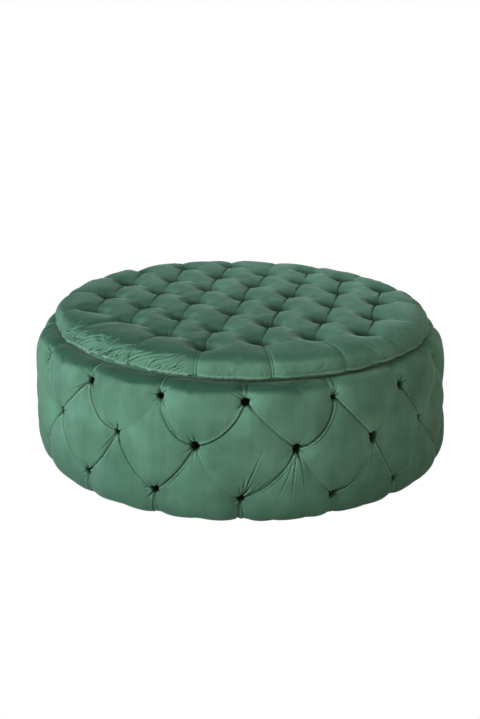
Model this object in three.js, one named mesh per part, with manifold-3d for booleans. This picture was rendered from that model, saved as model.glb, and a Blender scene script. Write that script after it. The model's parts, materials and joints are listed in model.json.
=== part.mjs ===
// Round storage tuffet: a deep-tufted velvet drum with a loose, deep-tufted lid. Millimetres, +Z up.
import * as THREE from 'three';
import { mergeVertices } from 'three/addons/utils/BufferGeometryUtils.js';
import Module from 'manifold-3d';

const wasm = await Module();
wasm.setup();

// Overall sizes
const BASE_RADIUS = 500; // to the crest of the fullest side puff
const SIDE_PADDING = 60; // from the outer hoop to that crest
const LID_STEP_BACK = 48; // from that crest in to the lid's border
const LID_HEIGHT = 60; // from its underside to the crests at its middle
const LID_CROWN = 8; // how far the crests fall from the middle to the edge
const LID_REST_SHIFT = 4; // the loose lid lies this far off centre, towards +X

// Sheets, boards and running gaps
const CLEARANCE = 0.3; // between neighbours that touch
const OVERRUN = 5; // how far a cutter runs past what it cuts
const VELVET_THICKNESS = 1.4;
const LINING_THICKNESS = 1.5;
const DUST_COVER_THICKNESS = 1;
const HOOP_THICKNESS = 4;
const BASE_BOARD_THICKNESS = 18;
const TOP_RING_THICKNESS = 18;
const TOP_RING_WIDTH = 35.4;
const FLOOR_THICKNESS = 4;
const LID_BOARD_THICKNESS = 15;
const LID_EDGE_PADDING = 16; // from the lid board's edge to the lid's border
const RIM_PADDING = 8; // foam on the top ring, under the velvet rim
const MOUTH_TURN = 30; // how far the velvet is turned down inside the mouth
const HEM_TURN = 22; // how far the velvet is turned in under the base board

// Frame, glides, locating blocks and screws
const UPRIGHT_HEIGHT = 258.4;
const UPRIGHT_WIDTH = 60;
const UPRIGHT_DEPTH_SHARE = 0.75; // of the top ring's width
const UPRIGHT_COUNT = 8;
const GLIDE_COUNT = 6;
const GLIDE_HEIGHT = 7.7;
const GLIDE_RADIUS = 14;
const GLIDE_SOLE_SHARE = 0.7; // of its radius, where the domed foot is flat
const GLIDE_EDGE_SHARE = 0.4; // of its height, where the dome reaches full width
const GLIDE_INSET = 45; // from the base board's edge to a glide's middle
const NAIL_RADIUS = 1.5;
const NAIL_LENGTH = 14; // of it inside the base board
const BLOCK_COUNT = 4;
const BLOCK_WIDTH = 60;
const BLOCK_DEPTH = 20;
const BLOCK_HEIGHT = 20;
const BLOCK_PLAY = 1.5; // between the velvet mouth and a block, with the lid pushed over
const SCREW_RADIUS = 2;
const SCREW_HEAD_RADIUS = 4;
const SCREW_HEAD_HEIGHT = 2.5;
const SCREW_BITE = 10; // thread length inside the lid board
const SCREW_SPACING = 32; // between the two screws of one block

// Counts of facets and of sewn tufts
const RING_SEGMENTS = 32;
const SMALL_SEGMENTS = 12;
const TUFT_COLUMNS = 16;
const STEPS_PER_TUFT = 4; // mesh columns from one tuft to the next round the side
const TUFT_PHASE = THREE.MathUtils.degToRad(0.8);

// Side tufting: rows from the bottom edge to the rim. Height is a share of the side, inset and dip
// are shares of the padding, and dips are given at a tuft column, beside it and half way to the next.
const SIDE_DEPTH_SHARE = 0.68;
const SIDE_ROW_SHARES = [
  { height: 0.068, inset: 0.15, dips: [0.45, 0.08, 0.0] },
  { height: 0.188, inset: 0.02, dips: [1.0, 0.2, 0.0] },
  { height: 0.377, inset: 0.0, dips: [0.04, 0.55, 0.14] },
  { height: 0.57, inset: 0.03, dips: [0.0, 0.2, 1.0] },
  { height: 0.733, inset: 0.07, dips: [0.04, 0.55, 0.14] },
  { height: 0.896, inset: 0.12, dips: [1.0, 0.2, 0.0] },
  { height: 0.954, inset: 0.28, dips: [0.42, 0.08, 0.0] },
];
const BOTTOM_INSET_SHARE = 0.6; // of the side padding, at the bottom edge
const SHOULDER_INSET_SHARE = 0.74; // and where the shoulder meets the flat rim

// Lid tufting: a lattice of sewn tufts whose fold lines run along its two axes
const TUFT_PITCH = 125; // along a row
const ROW_PITCH = 114; // between rows
const ROW_SLIP = -67; // sideways step from one row to the next
const ROW_TURN = THREE.MathUtils.degToRad(18.2);
const LATTICE_SHIFT = { x: 0.5, y: 29.5 }; // of the middle tuft from the lid's centre
const TUFT_MARGIN = 42; // tufts keep this far inside the lid's border
const TUFT_DEPTH_SHARE = 0.62; // of the foam over the board
const FOLD_DEPTH_SHARE = 0.5; // of a tuft's depth
const FOLD_HALF_WIDTH_SHARE = 0.3; // of a lattice cell
const STEPS_PER_CELL = 3;

// Lid border and crown: inset is a share of the edge padding, height of the lid's height
const LID_EDGE_SHARES = [
  { inset: 0.75, height: 0.012 },
  { inset: 0.0, height: 0.2 },
];
const LID_CROWN_SHARES = [
  { inset: 0.5, height: 0.7 },
  { inset: 2.3, height: 0.87 },
  { inset: 2.6, height: 1.1 },
];
const LID_PEAK_SHARE = 1.2; // keeps the crown clear above the middle puffs

// Levels, each stacked on the piece below
const DUST_COVER_Z = GLIDE_HEIGHT + CLEARANCE;
const HEM_Z = DUST_COVER_Z + DUST_COVER_THICKNESS + CLEARANCE;
const BASE_BOARD_Z = HEM_Z + VELVET_THICKNESS + CLEARANCE;
const UPRIGHT_Z = BASE_BOARD_Z + BASE_BOARD_THICKNESS + CLEARANCE;
const TOP_RING_Z = UPRIGHT_Z + UPRIGHT_HEIGHT + CLEARANCE;
const FRAME_TOP = TOP_RING_Z + TOP_RING_THICKNESS;
const RIM_PAD_Z = FRAME_TOP + CLEARANCE;
const RIM_Z = RIM_PAD_Z + RIM_PADDING + CLEARANCE + VELVET_THICKNESS;
const SIDE_HEIGHT = RIM_Z - HEM_Z;
const LID_Z = RIM_Z + CLEARANCE;
const LID_BOARD_Z = LINING_THICKNESS + CLEARANCE;
const LID_FOAM_Z = LID_BOARD_Z + LID_BOARD_THICKNESS + CLEARANCE;

// Radii, each nested in the piece outside it
const HOOP_RADIUS = BASE_RADIUS - SIDE_PADDING;
const HOOP_INNER = HOOP_RADIUS - HOOP_THICKNESS;
const BOARD_RADIUS = HOOP_INNER - CLEARANCE;
const RING_INNER = BOARD_RADIUS - TOP_RING_WIDTH;
const INNER_HOOP_RADIUS = RING_INNER - CLEARANCE;
const WELL_RADIUS = INNER_HOOP_RADIUS - HOOP_THICKNESS;
const LINING_RADIUS = WELL_RADIUS - CLEARANCE;
const MOUTH_RADIUS = LINING_RADIUS - VELVET_THICKNESS;
const LID_RADIUS = BASE_RADIUS - LID_STEP_BACK;
const LID_BOARD_RADIUS = LID_RADIUS - LID_EDGE_PADDING;
const TUFT_REACH = LID_RADIUS - TUFT_MARGIN;

const MATERIALS = {
  velvet: new THREE.MeshStandardMaterial({ color: 0x52826a, roughness: 0.85, metalness: 0 }),
  foam: new THREE.MeshStandardMaterial({ color: 0xe8dcb4, roughness: 1, metalness: 0 }),
  plywood: new THREE.MeshStandardMaterial({ color: 0xc9a878, roughness: 0.7, metalness: 0 }),
  hardboard: new THREE.MeshStandardMaterial({ color: 0x9a7650, roughness: 0.75, metalness: 0 }),
  pine: new THREE.MeshStandardMaterial({ color: 0xd8b98a, roughness: 0.7, metalness: 0 }),
  lining: new THREE.MeshStandardMaterial({ color: 0x2b2c2b, roughness: 0.95, metalness: 0 }),
  glide: new THREE.MeshStandardMaterial({ color: 0x1c1c1c, roughness: 0.45, metalness: 0 }),
  screw: new THREE.MeshStandardMaterial({ color: 0xb9a76a, roughness: 0.35, metalness: 1 }),
};

function named(name, geometry, material) {
  const mesh = new THREE.Mesh(geometry, MATERIALS[material]);
  mesh.name = name;
  return mesh;
}

// Keeps only positions, with shared corners merged
function bare(geometry) {
  geometry.deleteAttribute('normal');
  geometry.deleteAttribute('uv');
  return mergeVertices(geometry);
}

function toSolid(geometry) {
  const merged = bare(geometry);
  const mesh = new wasm.Mesh({
    numProp: 3,
    vertProperties: new Float32Array(merged.attributes.position.array),
    triVerts: new Uint32Array(merged.index.array),
  });
  return new wasm.Manifold(mesh);
}

function fromSolid(solid) {
  const mesh = solid.getMesh();
  const geometry = new THREE.BufferGeometry();
  geometry.setAttribute('position', new THREE.BufferAttribute(mesh.vertProperties, 3));
  geometry.setIndex(new THREE.BufferAttribute(mesh.triVerts, 1));
  return geometry;
}

function lathe(points, segments) {
  const outline = points.map(([radius, z]) => new THREE.Vector2(radius, z));
  return new THREE.LatheGeometry(outline, segments).rotateX(Math.PI / 2);
}

function disc(radius, z, thickness, segments) {
  const outline = new THREE.Shape().absarc(0, 0, radius, 0, 2 * Math.PI);
  const options = { depth: thickness, bevelEnabled: false, curveSegments: segments / 2 };
  return new THREE.ExtrudeGeometry(outline, options).translate(0, 0, z);
}

function hoop(outer, inner, bottom, top) {
  return lathe([[inner, bottom], [outer, bottom], [outer, top], [inner, top], [inner, bottom]], RING_SEGMENTS);
}

// Straight holes of one radius from z = bottom to z = top at each place
function drilled(geometry, places, radius, bottom, top) {
  let solid = toSolid(geometry);
  for (const place of places) {
    const bit = disc(radius, bottom, top - bottom, SMALL_SEGMENTS).translate(place.x, place.y, 0);
    solid = solid.subtract(toSolid(bit));
  }
  return fromSolid(solid);
}

function placesOnCircle(count, radius, turn) {
  return Array.from({ length: count }, (_, index) => {
    const angle = turn + (2 * Math.PI * index) / count;
    return new THREE.Vector2(radius * Math.cos(angle), radius * Math.sin(angle));
  });
}

// One level ring of points, with its radius given for each column
function ringOfPoints(columns, z, radiusAt) {
  return Array.from({ length: columns }, (_, column) => {
    const angle = (2 * Math.PI * column) / columns;
    const radius = radiusAt(column);
    return new THREE.Vector3(radius * Math.cos(angle), radius * Math.sin(angle), z);
  });
}

// Triangles between two rings of one count, each cut along the deeper diagonal, where a fold runs
function evenBand(lower, upper, triangles) {
  const reach = (point) => Math.hypot(point.x, point.y);
  for (let column = 0; column < lower.length; column += 1) {
    const next = (column + 1) % lower.length;
    const [a, b, c, d] = [lower[column], lower[next], upper[next], upper[column]];
    const foldRises = Math.max(reach(a), reach(c)) < Math.max(reach(b), reach(d));
    if (foldRises) triangles.push(a, b, c, a, c, d);
    else triangles.push(a, b, d, b, c, d);
  }
}

// Triangles between a ring and one with twice its points
function doublingBand(coarse, fine, coarseBelow, triangles) {
  const push = (p, q, r) => (coarseBelow ? triangles.push(p, q, r) : triangles.push(p, r, q));
  for (let column = 0; column < coarse.length; column += 1) {
    const next = (column + 1) % coarse.length;
    const middle = fine[2 * column + 1];
    push(coarse[column], middle, fine[2 * column]);
    push(coarse[column], coarse[next], middle);
    push(coarse[next], fine[2 * next], middle);
  }
}

// A closed body from rings that follow its section all the way round
function ringBody(rings) {
  const triangles = [];
  rings.forEach((lower, index) => {
    const upper = rings[(index + 1) % rings.length];
    if (lower.length === upper.length) evenBand(lower, upper, triangles);
    else if (lower.length < upper.length) doublingBand(lower, upper, true, triangles);
    else doublingBand(upper, lower, false, triangles);
  });
  return mergeVertices(new THREE.BufferGeometry().setFromPoints(triangles));
}

// The tufted outside of the drum, drawn in by a depth, from the bottom edge up to the flat rim
function tuftedSide(depth) {
  const columns = TUFT_COLUMNS * STEPS_PER_TUFT;
  const padding = (share) => BASE_RADIUS - share * SIDE_PADDING;
  const rings = SIDE_ROW_SHARES.map((row) => {
    const radiusAt = (column) => {
      const step = column % STEPS_PER_TUFT;
      const fromTuft = Math.min(step, STEPS_PER_TUFT - step);
      return padding(row.inset) - row.dips[fromTuft] * SIDE_DEPTH_SHARE * SIDE_PADDING - depth;
    };
    return ringOfPoints(columns, HEM_Z + row.height * SIDE_HEIGHT, radiusAt);
  });
  const bottom = ringOfPoints(RING_SEGMENTS, HEM_Z + depth, () => padding(BOTTOM_INSET_SHARE) - depth);
  const shoulder = ringOfPoints(RING_SEGMENTS, RIM_Z - depth, () => padding(SHOULDER_INSET_SHARE) - depth);
  return [bottom, ...rings, shoulder];
}

function plainRing(radius, z) {
  return ringOfPoints(RING_SEGMENTS, z, () => radius);
}

// Velvet: hem under the board, tufted side, flat rim and the turn-down inside the mouth
function sideCover() {
  const skin = (depth) => [
    plainRing(BOARD_RADIUS - HEM_TURN, HEM_Z + depth),
    ...tuftedSide(depth),
    plainRing(MOUTH_RADIUS + depth, RIM_Z - depth),
    plainRing(MOUTH_RADIUS + depth, RIM_Z - MOUTH_TURN),
  ];
  return ringBody([...skin(0), ...skin(VELVET_THICKNESS).reverse()]);
}

// Foam: wraps the outer hoop and laps over the top ring to the well's edge
function sideFoam() {
  const depth = VELVET_THICKNESS + CLEARANCE;
  return ringBody([
    ...tuftedSide(depth),
    plainRing(WELL_RADIUS, RIM_Z - depth),
    plainRing(WELL_RADIUS, RIM_PAD_Z),
    plainRing(HOOP_RADIUS + CLEARANCE, RIM_PAD_Z),
    plainRing(HOOP_RADIUS + CLEARANCE, BASE_BOARD_Z),
  ]);
}

const GLIDE_PLACES = placesOnCircle(GLIDE_COUNT, BOARD_RADIUS - GLIDE_INSET, Math.PI / GLIDE_COUNT);

// A nail-on plastic glide with a domed foot
function glide() {
  const nailTop = BASE_BOARD_Z + NAIL_LENGTH;
  return lathe([
    [0, 0],
    [GLIDE_RADIUS * GLIDE_SOLE_SHARE, 0],
    [GLIDE_RADIUS, GLIDE_HEIGHT * GLIDE_EDGE_SHARE],
    [GLIDE_RADIUS, GLIDE_HEIGHT],
    [NAIL_RADIUS, GLIDE_HEIGHT],
    [NAIL_RADIUS, nailTop - NAIL_RADIUS],
    [0, nailTop],
  ], SMALL_SEGMENTS);
}

function drumFrame() {
  const group = new THREE.Group();
  const nailHole = NAIL_RADIUS + CLEARANCE;
  const nailTop = BASE_BOARD_Z + NAIL_LENGTH + CLEARANCE;
  const board = disc(BOARD_RADIUS, BASE_BOARD_Z, BASE_BOARD_THICKNESS, RING_SEGMENTS);
  const drilledBoard = drilled(board, GLIDE_PLACES, nailHole, BASE_BOARD_Z - OVERRUN, nailTop);
  group.add(named('base_board', drilledBoard, 'plywood'));
  const cloth = disc(BOARD_RADIUS - CLEARANCE, DUST_COVER_Z, DUST_COVER_THICKNESS, RING_SEGMENTS);
  const clothTop = DUST_COVER_Z + DUST_COVER_THICKNESS + OVERRUN;
  const drilledCloth = drilled(cloth, GLIDE_PLACES, nailHole, DUST_COVER_Z - OVERRUN, clothTop);
  group.add(named('dust_cover', drilledCloth, 'lining'));
  GLIDE_PLACES.forEach((place, index) => {
    const foot = named(`glide_${index + 1}`, glide(), 'glide');
    foot.position.set(place.x, place.y, 0);
    group.add(foot);
  });
  const depth = UPRIGHT_DEPTH_SHARE * TOP_RING_WIDTH;
  const middle = RING_INNER + TOP_RING_WIDTH / 2;
  placesOnCircle(UPRIGHT_COUNT, middle, Math.PI / UPRIGHT_COUNT).forEach((place, index) => {
    const block = new THREE.BoxGeometry(depth, UPRIGHT_WIDTH, UPRIGHT_HEIGHT);
    const upright = named(`upright_${index + 1}`, block, 'pine');
    upright.position.set(place.x, place.y, UPRIGHT_Z + UPRIGHT_HEIGHT / 2);
    upright.rotation.z = place.angle();
    group.add(upright);
  });
  group.add(named('top_ring', hoop(BOARD_RADIUS, RING_INNER, TOP_RING_Z, FRAME_TOP), 'plywood'));
  group.add(named('outer_hoop', hoop(HOOP_RADIUS, HOOP_INNER, BASE_BOARD_Z, FRAME_TOP), 'hardboard'));
  group.add(named('inner_hoop', hoop(INNER_HOOP_RADIUS, WELL_RADIUS, UPRIGHT_Z, FRAME_TOP), 'hardboard'));
  return group;
}

function drumLining() {
  const group = new THREE.Group();
  const floorTop = UPRIGHT_Z + FLOOR_THICKNESS;
  group.add(named('lining_floor', disc(LINING_RADIUS, UPRIGHT_Z, FLOOR_THICKNESS, RING_SEGMENTS), 'lining'));
  const wallTop = RIM_Z - MOUTH_TURN - CLEARANCE;
  const wall = hoop(LINING_RADIUS, LINING_RADIUS - LINING_THICKNESS, floorTop + CLEARANCE, wallTop);
  group.add(named('lining_wall', wall, 'lining'));
  return group;
}

// The lid's border and crown in section, drawn in by a depth, from the bottom edge to the axis
function lidSection(depth) {
  const point = (share, drop) => [
    LID_RADIUS - share.inset * LID_EDGE_PADDING - depth,
    share.height * LID_HEIGHT - drop,
  ];
  return [
    ...LID_EDGE_SHARES.map((share) => point(share, 0)),
    ...LID_CROWN_SHARES.map((share) => point(share, depth)),
    [0, LID_PEAK_SHARE * LID_HEIGHT - depth],
  ];
}

// Axes of the tuft lattice, along which the folds run
const ACROSS = new THREE.Vector2(TUFT_PITCH, 0).rotateAround(new THREE.Vector2(), ROW_TURN);
const FOLD_A = new THREE.Vector2(ROW_SLIP, -ROW_PITCH).rotateAround(new THREE.Vector2(), ROW_TURN);
const FOLD_B = FOLD_A.clone().add(ACROSS);

function latticePlace(a, b) {
  return new THREE.Vector2(LATTICE_SHIFT.x, LATTICE_SHIFT.y).addScaledVector(FOLD_A, a).addScaledVector(FOLD_B, b);
}

function isTuft(a, b) {
  return latticePlace(a, b).length() < TUFT_REACH ? 1 : 0;
}

// How deep the velvet lies at a lattice place: 1 in a tuft, the fold share along a fold, 0 on a puff
function dipShare(a, b) {
  const [cellA, cellB] = [Math.floor(a), Math.floor(b)];
  const [shareA, shareB] = [a - cellA, b - cellB];
  const [edgeA, edgeB] = [Math.min(shareA, 1 - shareA), Math.min(shareB, 1 - shareB)];
  const fold = Math.max(0, 1 - Math.min(edgeA, edgeB) / FOLD_HALF_WIDTH_SHARE);
  const tuft = Math.max(0, 1 - Math.hypot(edgeA, edgeB) / FOLD_HALF_WIDTH_SHARE);
  const sewn = isTuft(Math.round(a), Math.round(b));
  const low = (1 - shareA) * isTuft(cellA, Math.round(b)) + shareA * isTuft(cellA + 1, Math.round(b));
  const high = (1 - shareB) * isTuft(Math.round(a), cellB) + shareB * isTuft(Math.round(a), cellB + 1);
  const pull = edgeA > edgeB ? low : high;
  return FOLD_DEPTH_SHARE * fold * pull + (1 - FOLD_DEPTH_SHARE) * tuft * sewn;
}

// A block under the whole lid whose top is the tufted surface, lowered by a depth
function tuftedBlock(depth) {
  const shortest = Math.min(FOLD_A.length(), FOLD_B.length());
  const cells = Math.ceil(LID_RADIUS / shortest) + 1;
  const count = 2 * cells * STEPS_PER_CELL;
  const corner = (row, column, isTop) => {
    const [a, b] = [row / STEPS_PER_CELL - cells, column / STEPS_PER_CELL - cells];
    const place = latticePlace(a, b);
    const fall = LID_CROWN * (place.length() / LID_RADIUS) ** 2;
    const foam = LID_HEIGHT - LID_FOAM_Z - LID_CROWN;
    const top = LID_HEIGHT - fall - dipShare(a, b) * TUFT_DEPTH_SHARE * foam - depth;
    return new THREE.Vector3(place.x, place.y, isTop ? top : -OVERRUN);
  };
  const triangles = [];
  const quad = (p, q, r, s) => triangles.push(p, q, r, p, r, s);
  for (let row = 0; row < count; row += 1) {
    for (let column = 0; column < count; column += 1) {
      for (const isTop of [true, false]) {
        const near = [corner(row, column, isTop), corner(row + 1, column, isTop)];
        const far = [corner(row, column + 1, isTop), corner(row + 1, column + 1, isTop)];
        if (isTop) quad(near[1], far[1], far[0], near[0]);
        else quad(near[0], far[0], far[1], near[1]);
      }
    }
  }
  const wall = (fromRow, fromColumn, toRow, toColumn) => quad(
    corner(toRow, toColumn, false), corner(fromRow, fromColumn, false),
    corner(fromRow, fromColumn, true), corner(toRow, toColumn, true),
  );
  for (let step = 0; step < count; step += 1) {
    wall(step + 1, 0, step, 0);
    wall(step, count, step + 1, count);
    wall(0, step, 0, step + 1);
    wall(count, step + 1, count, step);
  }
  return toSolid(new THREE.BufferGeometry().setFromPoints(triangles));
}

function lidCover() {
  const outer = toSolid(lathe([[0, lidSection(0)[0][1]], ...lidSection(0)], RING_SEGMENTS));
  const hollow = lidSection(VELVET_THICKNESS);
  const bottom = -OVERRUN / 2;
  const inner = toSolid(lathe([[0, bottom], [hollow[0][0], bottom], ...hollow], RING_SEGMENTS));
  const skin = outer.intersect(tuftedBlock(0)).subtract(inner.intersect(tuftedBlock(VELVET_THICKNESS)));
  return fromSolid(skin);
}

function lidFoam() {
  const depth = VELVET_THICKNESS + CLEARANCE;
  const recess = LID_BOARD_RADIUS + CLEARANCE;
  const [bottomEdge, ...above] = lidSection(depth);
  const section = [[0, LID_FOAM_Z], [recess, LID_FOAM_Z], [recess, LID_BOARD_Z], [bottomEdge[0], LID_BOARD_Z], ...above];
  return fromSolid(toSolid(lathe(section, RING_SEGMENTS)).intersect(tuftedBlock(depth)));
}

// How far a block's outer face lies from the lid's centre, so that its corners pass the mouth
function blockReach() {
  const mouthFlats = MOUTH_RADIUS * Math.cos(Math.PI / RING_SEGMENTS);
  const cornerReach = mouthFlats - LID_REST_SHIFT - BLOCK_PLAY;
  return Math.sqrt(cornerReach ** 2 - (BLOCK_WIDTH / 2) ** 2);
}

function screwPlaces() {
  const radius = blockReach() - BLOCK_DEPTH / 2;
  return placesOnCircle(BLOCK_COUNT, radius, 0).flatMap((place) => {
    const along = new THREE.Vector2(-place.y, place.x).setLength(SCREW_SPACING / 2);
    return [place.clone().sub(along), place.clone().add(along)];
  });
}

function screw() {
  const neck = -BLOCK_HEIGHT - 2 * CLEARANCE;
  const tip = LID_BOARD_Z + SCREW_BITE;
  return lathe([
    [0, neck - SCREW_HEAD_HEIGHT],
    [SCREW_HEAD_RADIUS, neck - SCREW_HEAD_HEIGHT],
    [SCREW_HEAD_RADIUS, neck],
    [SCREW_RADIUS, neck],
    [SCREW_RADIUS, tip - SCREW_RADIUS],
    [0, tip],
  ], SMALL_SEGMENTS);
}

function lidFrame() {
  const group = new THREE.Group();
  const places = screwPlaces();
  const hole = SCREW_RADIUS + CLEARANCE;
  const lining = disc(LID_BOARD_RADIUS, 0, LINING_THICKNESS, RING_SEGMENTS);
  const drilledLining = drilled(lining, places, hole, -OVERRUN, LINING_THICKNESS + OVERRUN);
  group.add(named('lid_lining', drilledLining, 'lining'));
  const board = disc(LID_BOARD_RADIUS, LID_BOARD_Z, LID_BOARD_THICKNESS, RING_SEGMENTS);
  const holeTop = LID_BOARD_Z + SCREW_BITE + CLEARANCE;
  group.add(named('lid_board', drilled(board, places, hole, LID_BOARD_Z - OVERRUN, holeTop), 'plywood'));
  const blockRadius = blockReach() - BLOCK_DEPTH / 2;
  const holes = [-1, 1].map((side) => new THREE.Vector2(0, (side * SCREW_SPACING) / 2));
  placesOnCircle(BLOCK_COUNT, blockRadius, 0).forEach((place, index) => {
    const blank = new THREE.BoxGeometry(BLOCK_DEPTH, BLOCK_WIDTH, BLOCK_HEIGHT);
    const bottom = -BLOCK_HEIGHT - CLEARANCE;
    blank.translate(0, 0, bottom + BLOCK_HEIGHT / 2);
    const block = named(`locating_block_${index + 1}`, drilled(blank, holes, hole, bottom - OVERRUN, OVERRUN), 'pine');
    block.position.set(place.x, place.y, 0);
    block.rotation.z = place.angle();
    group.add(block);
  });
  places.forEach((place, index) => {
    const fastener = named(`block_screw_${index + 1}`, screw(), 'screw');
    fastener.position.set(place.x, place.y, 0);
    group.add(fastener);
  });
  return group;
}

function drum() {
  const group = new THREE.Group();
  group.add(drumFrame(), drumLining());
  group.add(named('side_foam', sideFoam(), 'foam'));
  group.add(named('side_cover', sideCover(), 'velvet'));
  group.rotation.z = TUFT_PHASE - Math.PI / 2;
  return group;
}

function lid() {
  const group = new THREE.Group();
  group.add(lidFrame());
  group.add(named('lid_foam', lidFoam(), 'foam'));
  group.add(named('lid_cover', lidCover(), 'velvet'));
  group.position.set(LID_REST_SHIFT, 0, LID_Z);
  return group;
}

const tuffet = new THREE.Group();
tuffet.add(drum(), lid());
export default tuffet;
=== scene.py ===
"""A round storage tuffet in deep-tufted green velvet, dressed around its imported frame. Metres, +Z up."""
import json
import math

import bmesh
import bpy
import numpy as np
from mathutils import Matrix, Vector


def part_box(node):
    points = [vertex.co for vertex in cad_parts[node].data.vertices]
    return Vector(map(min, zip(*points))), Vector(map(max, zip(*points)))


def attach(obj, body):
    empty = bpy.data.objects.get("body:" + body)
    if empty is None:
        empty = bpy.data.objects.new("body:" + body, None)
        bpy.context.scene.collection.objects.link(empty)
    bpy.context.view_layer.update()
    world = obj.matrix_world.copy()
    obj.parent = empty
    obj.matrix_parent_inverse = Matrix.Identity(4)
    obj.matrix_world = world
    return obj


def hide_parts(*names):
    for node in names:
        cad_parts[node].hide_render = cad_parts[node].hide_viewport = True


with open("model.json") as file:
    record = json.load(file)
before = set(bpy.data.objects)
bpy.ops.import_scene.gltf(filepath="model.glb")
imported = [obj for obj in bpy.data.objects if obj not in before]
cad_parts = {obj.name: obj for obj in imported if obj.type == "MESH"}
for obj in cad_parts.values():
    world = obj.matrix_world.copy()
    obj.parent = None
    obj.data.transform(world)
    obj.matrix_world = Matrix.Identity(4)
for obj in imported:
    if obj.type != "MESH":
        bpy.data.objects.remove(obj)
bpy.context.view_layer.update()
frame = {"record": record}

MM = 0.001

# The photograph's camera: its frame in pixels, the pixel column of the drum's axis, and where the eye stands
PHOTO_WIDTH = 480
PHOTO_HEIGHT = 719
FOCAL_PIXELS = 1100
AXIS_PIXEL_X = 240.4
EYE_HEIGHT = 1.087
EYE_DISTANCE = 2.596
EYE_PITCH = math.radians(18.5)
EYE_ROLL = math.radians(0.6)

# The drum's outer line in section, (radius, height) from the hem under the board up to the mouth
SIDE_LINE = [
    (0.4150, 0.0100), (0.4400, 0.0096), (0.4600, 0.0098), (0.4750, 0.0135), (0.4870, 0.0260),
    (0.4950, 0.0480), (0.4990, 0.0750), (0.5000, 0.1100), (0.4992, 0.1600), (0.4977, 0.2100),
    (0.4938, 0.2550), (0.4885, 0.2840), (0.4800, 0.3035), (0.4680, 0.3132), (0.4540, 0.3160),
    (0.4200, 0.3160), (0.4000, 0.3155), (0.3935, 0.3110), (0.3925, 0.3000), (0.3925, 0.2880),
]
# The same body's plain inside, where the foam lies on the hoop and the ring
SIDE_BACK = [(0.3936, 0.2880), (0.3936, 0.3064), (0.4404, 0.3064), (0.4404, 0.0112), (0.4150, 0.0112)]
# The rim's height, and the lowest that the foam and the velvet over it may hang
RIM_HEIGHT = 0.316
LOWEST_FOAM = 0.0094
LOWEST_VELVET = 0.0092
# Where the lowest folds end on the outer line, from its start under the board
LOWEST_FOLDS_END = 8 * MM
# The radius at which the side is unrolled, and its length round
SIDE_REFERENCE_RADIUS = 0.490
SIDE_ROUND = 2 * math.pi * SIDE_REFERENCE_RADIUS
# How far the drum's foot bulges to the right
FOOT_LEAN = 0.010

TUFT_COLUMNS = 16
TUFT_PHASE = math.radians(1.4)
ROW_HEIGHTS = {"top": 0.286, "middle": 0.184, "low": 0.067}
# How far the tufts that face the photograph stray from even places, (round the drum, up), in millimetres
SIDE_STRAYS = {
    ("top", 14): (12, 3), ("top", 15): (7, 6), ("top", 0): (-1, 4), ("top", 1): (2, 2), ("top", 2): (-1, -9),
    ("middle", 13): (3, 6), ("middle", 14): (0, 8), ("middle", 15): (-9, 5), ("middle", 0): (13, -2),
    ("middle", 1): (6, -4), ("middle", 2): (-18, -5),
    ("low", 14): (1, 6), ("low", 15): (-4, 8), ("low", 0): (-8, 5), ("low", 1): (1, 0), ("low", 2): (-19, -8),
}

# The folds that face the photograph, by the tuft above, down to its right and then to its left: how far each
# sags from a straight line (0 to 1), and how strongly it shows at its start, in its middle and at its end
SIDE_FOLDS = {
    ("top", 14): ((0.75, 1.0, 0.8, 0.7), (0.10, 1.2, 1.3, 1.3)),
    ("top", 15): ((0.85, 0.5, 1.3, 1.0), (0.50, 0.2, 0.0, 0.1)),
    ("top", 0): ((0.10, 0.7, 0.6, 0.8), (0.65, 1.0, 1.2, 1.2)),
    ("top", 1): ((0.05, 0.9, 0.8, 1.0), (0.80, 1.1, 1.3, 1.1)),
    ("top", 2): ((0.10, 1.3, 1.0, 1.0), (0.40, 0.2, 0.05, 0.2)),
    ("middle", 13): ((0.60, 1.1, 0.7, 0.1), (0.10, 1.2, 1.2, 1.0)),
    ("middle", 14): ((0.45, 1.1, 0.9, 0.2), (0.35, 0.9, 1.2, 1.1)),
    ("middle", 15): ((0.45, 0.4, 0.1, 0.2), (0.30, 0.6, 1.2, 1.1)),
    ("middle", 0): ((0.20, 0.5, 0.1, 0.4), (0.40, 1.0, 0.9, 0.3)),
    ("middle", 1): ((0.15, 1.0, 0.8, 1.0), (0.55, 0.2, 0.5, 1.3)),
    ("middle", 2): ((0.20, 0.8, 0.9, 0.8), (0.70, 0.1, 0.7, 1.2)),
}
# The long gathers that face the photograph: angle in degrees, length, depth and start in millimetres
LONG_GATHERS = {
    ("low", 0): [
        (73, 84, 6.0, 2), (80, 44, 4.5, 2), (95, 26, 3.0, 2),
        (33, 70, 4.0, 3), (38, 58, 3.5, 4), (46, 40, 3.5, 4),
    ],
    ("middle", 14): [(121, 20, 3.0, 1), (76, 18, 3.0, 1), (232, 62, 4.5, 4), (249, 84, 4.0, 30)],
    ("middle", 0): [(259, 74, 4.0, 4), (251, 90, 3.0, 30), (283, 76, 3.0, 34)],
    ("middle", 1): [(258, 66, 4.0, 4), (276, 80, 3.0, 30), (52, 20, 3.5, 1)],
    ("low", 1): [(216, 32, 3.0, 3)],
    ("middle", 15): [(241, 44, 2.5, 6), (297, 46, 2.0, 8)],
    ("top", 0): [(317, 40, 3.0, 4), (226, 24, 3.0, 3)],
    ("top", 15): [(289, 40, 4.0, 3), (300, 60, 3.0, 10)],
    ("top", 14): [(216, 60, 5.0, 3), (222, 52, 4.0, 12)],
    ("top", 2): [(245, 56, 4.5, 3), (262, 44, 3.5, 4)],
}
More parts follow.
